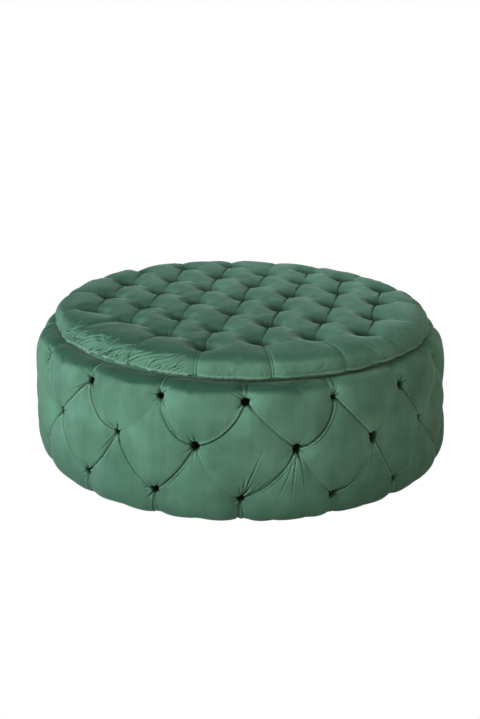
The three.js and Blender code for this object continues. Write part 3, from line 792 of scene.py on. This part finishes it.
def lid_tufting(edge):
    """The lid's tufting on its unrolled top and border; edge is the unrolled radius of its hem."""
    tufting = Tufting(11)
    rng = tufting.rng
    tufts = lid_tufts()
    for (i, j), place in tufts.items():
        for a, b, down in ((0, 1, True), (1, 1, False)):
            other = tufts.get((i + a, j + b))
            if other is None:
                continue
            bow = (other - place)[::-1] * [1, -1] * rng.uniform(-0.06, 0.06)
            path = np.array([place, place * 0.7 + other * 0.3 + bow, place * 0.3 + other * 0.7 + bow, other])
            faint = [0.7, 1, rng.uniform(0.5, 1.0), rng.uniform(0.0, 0.4), rng.uniform(0.2, 0.6)]
            depths, valley = ((6, 9), 5) if down else ((1, 3.5), 4)
            fade = ([0, 0.2, 0.45, 0.75, 1], faint)
            tufting.add_crease(path, fade, depths, (1.6, 2.0), (0.8, 1.8), valley, valley_width=20)
        reach = np.hypot(*place)
        if reach > PLEATED_FROM and not all((i + a, j + b) in tufts for a, b in LATTICE_RING):
            outward = place / reach
            sideways = np.array([-outward[1], outward[0]])
            lean = rng.uniform(-12, 12) * MM
            for offset in (-2.5 * MM, 3.5 * MM)[:rng.choice([1, 2])]:
                path = np.array([
                    place, outward * (0.5 * reach + 0.5 * edge) + sideways * (0.4 * lean + offset),
                    outward * edge + sideways * (lean + offset),
                ])
                fade = ([0, 0.4, 1], [1, rng.uniform(0.3, 0.9), rng.uniform(0.6, 1)])
                tufting.add_crease(path, fade, (1.2, 2.6), (1.4, 1.9), (0.3, 1.0), valley=4, valley_width=14)
    for place in tufts.values():
        tufting.tufts.append({
            "place": place, "hollow": 28 * MM, "hollow_width": 25.5 * MM, "power": 2.5, "hole": 5 * MM,
            "hole_width": 8 * MM, "oval": rng.uniform(0.8, 1.2, 2),
        })
        tufting.add_gathers(place, 7, (0, 2 * math.pi), 24, (1.4, 3.0))
    # Gathers along the border's hem all round, and a crumpled stretch at the front left
    for _ in range(HEM_GATHERS):
        angle = rng.uniform(0, 2 * math.pi)
        outward = np.array([math.cos(angle), math.sin(angle)])
        depth_share = 0.3 + 0.7 * smoothstep(-0.4, 0.3, -outward[0])
        tufting.gathers.append((
            outward * (edge - 14 * MM), angle + math.pi + rng.uniform(-0.9, 0.9), rng.uniform(7, 22) * MM,
            rng.uniform(0.8, 2.2) * MM * depth_share, rng.uniform(1.6, 2.6) * MM, rng.uniform(-8, 8), 0.0,
        ))
    for _ in range(CRUMPLES):
        angle = math.radians(rng.uniform(*CRUMPLED_STRETCH))
        outward = np.array([math.cos(angle), math.sin(angle)])
        tufting.gathers.append((
            outward * (edge - rng.uniform(12, 22) * MM), angle + math.pi - rng.uniform(0.5, 1.2),
            rng.uniform(20, 62) * MM, rng.uniform(2.4, 5.2) * MM,
            rng.uniform(1.5, 2.2) * MM, rng.uniform(-3, 3), 0.0,
        ))
    return tufting


def lid_upholstery(material, twine):
    """The lid's velvet over its foam, as one closed body with a tufted top and a pleated border."""
    line, along = smooth_line(LID_LINE, COARSE_STEP)
    edge = along[-1]
    tufting = lid_tufting(edge)
    cells = round(2 * edge / COARSE_STEP)
    bm = bmesh.new()
    bmesh.ops.create_grid(bm, x_segments=cells, y_segments=cells, size=1.0)
    flat_layer = bm.verts.layers.float_vector.new("flat")
    for vert in bm.verts:
        x, y = vert.co.x, vert.co.y
        flat = np.array([x * math.sqrt(1 - y * y / 2), y * math.sqrt(1 - x * x / 2)]) * edge
        reach = math.hypot(*flat)
        radius = np.interp(reach, along, line[:, 0]) / max(reach, 1e-9)
        vert[flat_layer] = (flat[0], flat[1], 0)
        vert.co = (flat[0] * radius, flat[1] * radius, np.interp(reach, along, line[:, 1]))
    mesh = mesh_of(bm, "lid_velvet")
    piece = new_piece("lid_velvet", mesh, material)

    def unrolled(mesh):
        co = positions(mesh)
        flat = read(mesh.attributes["flat"].data, "vector")[:, :2]
        reach = np.hypot(*flat.T)
        direction = flat / np.maximum(reach, 1e-9)[:, None]
        free = smoothstep(0, 12 * MM, edge - reach)
        return co, Ground(flat), reach, direction, free

    co, ground, reach, direction, free = unrolled(mesh)
    rise, uneven = LID_RISE
    wavy = waves(ground.points, np.random.default_rng(31), 14, 0.06, 0.2)
    height = (tufting.broad(ground) + rise + uneven * wavy) * free
    leftness = ((1 - direction[:, 0]) / 2) ** 1.3
    on_border = smoothstep(0.28, 0.43, reach) * smoothstep(0, 18 * MM, edge - reach)
    co[:, 2] += LEFT_BORDER_LIFT * leftness * on_border
    normal = pairs_at(reach, along, line_normals(line, -1.0))
    co[:, :2] += direction * (normal[:, 0] * height)[:, None]
    co[:, 2] += normal[:, 1] * height
    held = np.maximum(tufting.hold(ground), 1.0 * (free < 0.05))
    mesh = upholster(piece, co, held, LID_CLOTH)
    co, ground, reach, direction, free = unrolled(mesh)
    fine = tufting.fine(ground)
    ragged = waves(ground.points, np.random.default_rng(41), 16, 0.012, 0.06)
    ragged *= 0.25 + 0.75 * smoothstep(-0.5, 0.6, -direction[:, 0])
    hem = np.exp(-((edge - HEM_INSET + 1.2 * MM * ragged - reach) / (2.6 * MM)) ** 2)
    fine += hem * (1.9 + 0.9 * ragged) * MM
    co += vertex_normals(mesh) * (fine * free)[:, None]
    place_vertices(mesh, co)
    # Painted shade: up-facing velvet painted darker towards the front left, and the border's left side darker
    # still
    top_shade_share = (0.36 - 0.95 * co[:, 0] - 0.78 * co[:, 1]).clip(0.02, 0.95)
    shaded = 0.22 * smoothstep(0.0, 0.8, -direction[:, 0]) * smoothstep(0.41, 0.44, reach)
    paint_shade_and_highlight(mesh, tufting.broad(ground), fine, (0.62, 0.95), top_shade_share, (-1 * MM, -21 * MM), 0.66, shaded)
    close_underneath(mesh)
    return piece, stitch_tufts("lid_twine", tufting, ground, co, (0, 0, 1), twine, np.array([LID_X, 0, 0]))


def close_underneath(mesh):
    """Takes the lid's open edge in over the board's edge and closes it on the board's upper face."""
    bm = bmesh.new()
    bm.from_mesh(mesh)
    rim = [e for e in bm.edges if e.is_boundary]
    for radius, level in BOARD_LINE:
        made = bmesh.ops.extrude_edge_only(bm, edges=rim)["geom"]
        rim = [g for g in made if isinstance(g, bmesh.types.BMEdge) and g.is_boundary]
        for vert in {v for e in rim for v in e.verts}:
            scale = radius / math.hypot(vert.co.x, vert.co.y)
            vert.co = (vert.co.x * scale, vert.co.y * scale, level)
    bmesh.ops.holes_fill(bm, edges=rim)
    bmesh.ops.recalc_face_normals(bm, faces=bm.faces)
    bmesh.ops.translate(bm, verts=bm.verts, vec=(LID_X, 0, 0))
    bm.to_mesh(mesh)
    bm.free()


def sawn_pine(name, along):
    """Sawn pine: pale wood with soft brown growth lines that run along one axis."""
    material, tree = new_material(name)
    scale = [0.06 if axis == along else 1.0 for axis in "xyz"]
    rings = noise(tree, object_place(tree, scale), 4 * PINE_GRAIN, 6.0)
    colour = ramp(tree, rings, [(0.35, "#b98f56"), (0.55, "#d9b984"), (0.70, "#b98f56")])
    dress(tree, colour, (rings, 0.2, 0.3 * MM), Roughness=0.68)
    return material


def plywood_material():
    """Unfinished birch plywood: pale rotary-cut faces, and thin light and dark plies along its edges."""
    material, tree = new_material("unfinished_birch_plywood")
    figure = noise(tree, object_place(tree, (0.08, 1.0, 1.0)), 9 * MM, 5.0)
    face = ramp(tree, figure, [(0.30, "#c9a877"), (0.60, "#dcc092")])
    plies = bands(tree, object_place(tree), "Z", PLY_THIRD, Distortion=0.4)
    edge = ramp(tree, plies, [(0.42, "#8f6a41"), (0.52, "#d8bb8b")])
    facing = add_node(tree, "ShaderNodeNewGeometry").outputs["Normal"]
    upward = add_node(tree, "ShaderNodeSeparateXYZ", [(facing, 0)]).outputs["Z"]
    level = add_node(tree, "ShaderNodeMath", [(upward, 0)], operation="ABSOLUTE").outputs[0]
    dress(tree, mixed(tree, level, edge, face), Roughness=0.62)
    return material


def speckled(name, stops, speck, roughness, metallic=0.0):
    """A surface mottled at one real size, such as pressed fibres, cast plastic or plated steel."""
    material, tree = new_material(name)
    mottle = noise(tree, object_place(tree), 2 * speck, 4.0)
    dress(tree, ramp(tree, mottle, stops), (mottle, 0.3, 0.1 * MM), Roughness=roughness, Metallic=metallic)
    return material


def lining_material():
    """Plain-woven black polyester lining: a check of thread tops, drawn coarser than it is, to show."""
    material, tree = new_material("black_woven_lining")
    threads = add_node(tree, "ShaderNodeUVMap", uv_map="weave").outputs["UV"]
    cloth = product(tree, bands(tree, threads, "X", LINING_THREAD), bands(tree, threads, "Y", LINING_THREAD))
    worn = noise(tree, object_place(tree), 60 * MM, 3.0)
    colour = ramp(tree, product(tree, cloth, worn), [(0.05, "#141615"), (0.45, "#303432")])
    dress(tree, colour, (cloth, 0.5, 0.15 * MM), Roughness=0.7, Sheen_Weight=0.15, Sheen_Roughness=0.4)
    return material


def weave_uv(mesh, round_wall):
    """Gives a cloth its threads' directions in metres: round and up a wall, or across a flat disc."""
    co = positions(mesh)
    angle = np.arctan2(co[:, 1], co[:, 0])
    radius = np.hypot(co[:, 0], co[:, 1])
    flat = np.column_stack([angle * radius.mean(), co[:, 2]]) if round_wall else co[:, :2]
    layer = mesh.uv_layers.new(name="weave")
    corners = np.empty(len(mesh.loops), int)
    mesh.loops.foreach_get("vertex_index", corners)
    layer.data.foreach_set("uv", flat[corners].ravel())


def declare_cloth(piece, body, node):
    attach(piece, body)
    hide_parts(node)


def cloth_disc(name, body, node, slot, material, carrier, seed):
    """A round piece of thin cloth in a node's place, puckered a little towards its tacked edge."""
    low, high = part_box(node)
    radius = (high[0] - low[0]) / 2 * FACET_INSET
    depth = high[2] - low[2]
    pucker = 0.3 * depth
    bm = bmesh.new()
    bmesh.ops.create_circle(bm, cap_ends=False, radius=radius, segments=DISC_SEGMENTS)
    edges = bm.edges[:]
    for share in np.linspace(1, 0, DISC_RINGS, endpoint=False)[1:]:
        made = bmesh.ops.extrude_edge_only(bm, edges=edges)["geom"]
        verts = [g for g in made if isinstance(g, bmesh.types.BMVert)]
        fresh = set(verts)
        edges = [g for g in made if isinstance(g, bmesh.types.BMEdge) and fresh.issuperset(g.verts)]
        scale = radius * share / math.hypot(*verts[0].co.xy)
        bmesh.ops.scale(bm, vec=(scale, scale, 1), verts=verts)
    bmesh.ops.holes_fill(bm, edges=edges)
    phases = np.random.default_rng(seed).uniform(0, 2 * math.pi, 3)
    for vert in bm.verts:
        reach = math.hypot(vert.co.x, vert.co.y) / radius
        angle = math.atan2(vert.co.y, vert.co.x)
        lift = sum(math.sin(k * angle + p) for k, p in zip((23, 37, 52), phases)) / 3
        vert.co.z = low[2] + pucker * (1 + lift * smoothstep(0.75, 0.97, reach)) / 2
    bmesh.ops.recalc_face_normals(bm, faces=bm.faces)
    bmesh.ops.solidify(bm, geom=bm.faces[:], thickness=-(depth - pucker))
    bmesh.ops.translate(bm, verts=bm.verts, vec=((high[0] + low[0]) / 2, 0, 0))
    bmesh.ops.recalc_face_normals(bm, faces=bm.faces)
    mesh = mesh_of(bm, name)
    weave_uv(mesh, False)
    piece = new_piece(name, mesh, material)
    declare_cloth(piece, body, node)


def lining_wall_cloth(material):
    """The well's wall of black lining, tacked at its top and hanging in faint upright ripples."""
    low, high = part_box("lining_wall")
    outer = high[0] * FACET_INSET - 0.4 * MM
    heights = np.linspace(low[2], high[2], WALL_RINGS)
    line = [(outer, z) for z in heights] + [(outer - LINING_CLOTH, z) for z in heights[::-1]]
    mesh = revolved("well_lining", line, heights.tolist() + heights[::-1].tolist(), [], sector_steps=24)
    co = positions(mesh)
    angle = np.arctan2(co[:, 1], co[:, 0])
    sag = np.sin((co[:, 2] - low[2]) / (high[2] - low[2]) * math.pi)
    ripple = 0.35 * MM * sag * (np.sin(41 * angle) + np.sin(67 * angle + 1.3) - 2)
    co[:, 0] += ripple * np.cos(angle)
    co[:, 1] += ripple * np.sin(angle)
    place_vertices(mesh, co)
    weave_uv(mesh, True)
    piece = new_piece("well_lining", mesh, material)
    declare_cloth(piece, "drum", "lining_wall")


def lining_and_dust_cloths():
    """Every cloth inside and under the tuffet, each in the space of its own node."""
    lining = lining_material()
    lining_wall_cloth(lining)
    dust = speckled("black_nonwoven_dust_cloth", [(0.35, "#141414"), (0.65, "#262626")], 1.2 * MM, 0.9)
    for disc in (
        ("well_floor_cloth", "drum", "lining_floor", "lining", lining, "base_board", 3),
        ("lid_underside_cloth", "lid", "lid_lining", "lining", lining, "lid_board", 4),
        ("dust_cloth_under_drum", "drum", "dust_cover", "dust_cloth", dust, "base_board", 5),
    ):
        cloth_disc(*disc)


def finish_frame():
    """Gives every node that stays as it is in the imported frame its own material."""
    upright = sawn_pine("sawn_pine_upright", "z")
    finishes = {
        "pine": sawn_pine("sawn_pine_block", "y"),
        "plywood": plywood_material(),
        "hardboard": speckled("bent_hardboard", [(0.3, "#6b4a2f"), (0.7, "#85603f")], 1.0 * MM, 0.75),
        "glide": speckled("moulded_black_polyethylene", [(0.3, "#161616"), (0.7, "#202020")], 0.6 * MM, 0.48),
        "screw": speckled(
            "yellow_zinc_plated_steel", [(0.3, "#b79a4e"), (0.7, "#d3bd7a")], 0.8 * MM, 0.3, metallic=1.0,
        ),
    }
    for part in frame["record"]["subparts"]:
        piece = bpy.data.objects.get(part["node"])
        material = finishes.get(part["material_slot"])
        if piece and material:
            piece.data.materials.clear()
            piece.data.materials.append(upright if part["node"].startswith("upright") else material)


def white_to_camera(tree, lit, white):
    """What the camera sees as plain white, and what every other ray meets as it is lit."""
    sight = add_node(tree, "ShaderNodeLightPath").outputs["Is Camera Ray"]
    return add_node(tree, "ShaderNodeMixShader", [(sight, 0), (lit.outputs[0], 1), (white.outputs[0], 2)])


def studio():
    """A pale floor, soft lamps from the front left, and a world that the camera sees as white."""
    bpy.context.scene.view_settings.view_transform = "Standard"
    bm = bmesh.new()
    bmesh.ops.create_grid(bm, x_segments=2, y_segments=2, size=12.0)
    material, tree = new_material("pale_studio_floor")
    paint = add_node(tree, "ShaderNodeBsdfDiffuse", Color=linear("#bdbdbb"))
    finish(tree, white_to_camera(tree, paint, add_node(tree, "ShaderNodeEmission")))
    floor = new_piece("studio_floor", mesh_of(bm, "studio_floor"), material)
    world = bpy.data.worlds.new("studio")
    bpy.context.scene.world = world
    world.use_nodes = True
    tree = world.node_tree
    tree.nodes.clear()
    soft = add_node(tree, "ShaderNodeBackground", Color=(1, 1, 1, 1), Strength=0.23)
    white = add_node(tree, "ShaderNodeBackground", Color=(1, 1, 1, 1))
    finish(tree, white_to_camera(tree, soft, white), "ShaderNodeOutputWorld")
    for name, place, size, power, colour in (
        ("key_lamp", (-3.3, -2.2, 1.8), 1.4, 158, "#f7fcff"),
        ("fill_lamp", (0.7, -3.6, 1.1), 1.8, 30, "#fff0dc"),
        ("warm_lamp", (3.0, -0.9, 0.8), 1.0, 5, "#ffc48c"),
        ("top_lamp", (-0.1, 1.0, 3.0), 2.0, 22, "#ffffff"),
    ):
        lamp = bpy.data.lights.new(name, "AREA")
        lamp.size = size
        lamp.energy = power
        lamp.color = linear(colour)[:3]
        holder = new_object(name, lamp)
        holder.location = place
        aim = np.array([0, 0, 0.2]) - np.array(place)
        tilt = math.acos(-aim[2] / np.linalg.norm(aim))
        holder.rotation_euler = (tilt, 0, math.atan2(aim[1], aim[0]) - math.pi / 2)


def photographer():
    """The photograph's view."""
    camera = bpy.data.cameras.new("camera")
    camera.sensor_width = 36
    camera.lens = 36 * FOCAL_PIXELS / PHOTO_HEIGHT
    camera.shift_x = -(AXIS_PIXEL_X - PHOTO_WIDTH / 2) / PHOTO_HEIGHT
    holder = new_object("camera", camera)
    holder.location = (0, -EYE_DISTANCE, EYE_HEIGHT)
    holder.rotation_mode = "ZXY"
    holder.rotation_euler = (math.pi / 2 - EYE_PITCH, 0, EYE_ROLL)
    bpy.context.scene.camera = holder


studio()
photographer()
finish_frame()
lining_and_dust_cloths()
velvet = velvet_material()
twine = speckled("waxed_black_tufting_twine", [(0.3, "#0f0f0e"), (0.7, "#22221f")], 0.5 * MM, 0.55)
drum_piece, drum_stitches = drum_upholstery(velvet, twine)
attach(drum_stitches, "drum")
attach(drum_piece, "drum")
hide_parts("side_cover", "side_foam")
lid_piece, lid_stitches = lid_upholstery(velvet, twine)
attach(lid_stitches, "lid")
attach(lid_piece, "lid")
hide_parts("lid_cover", "lid_foam")
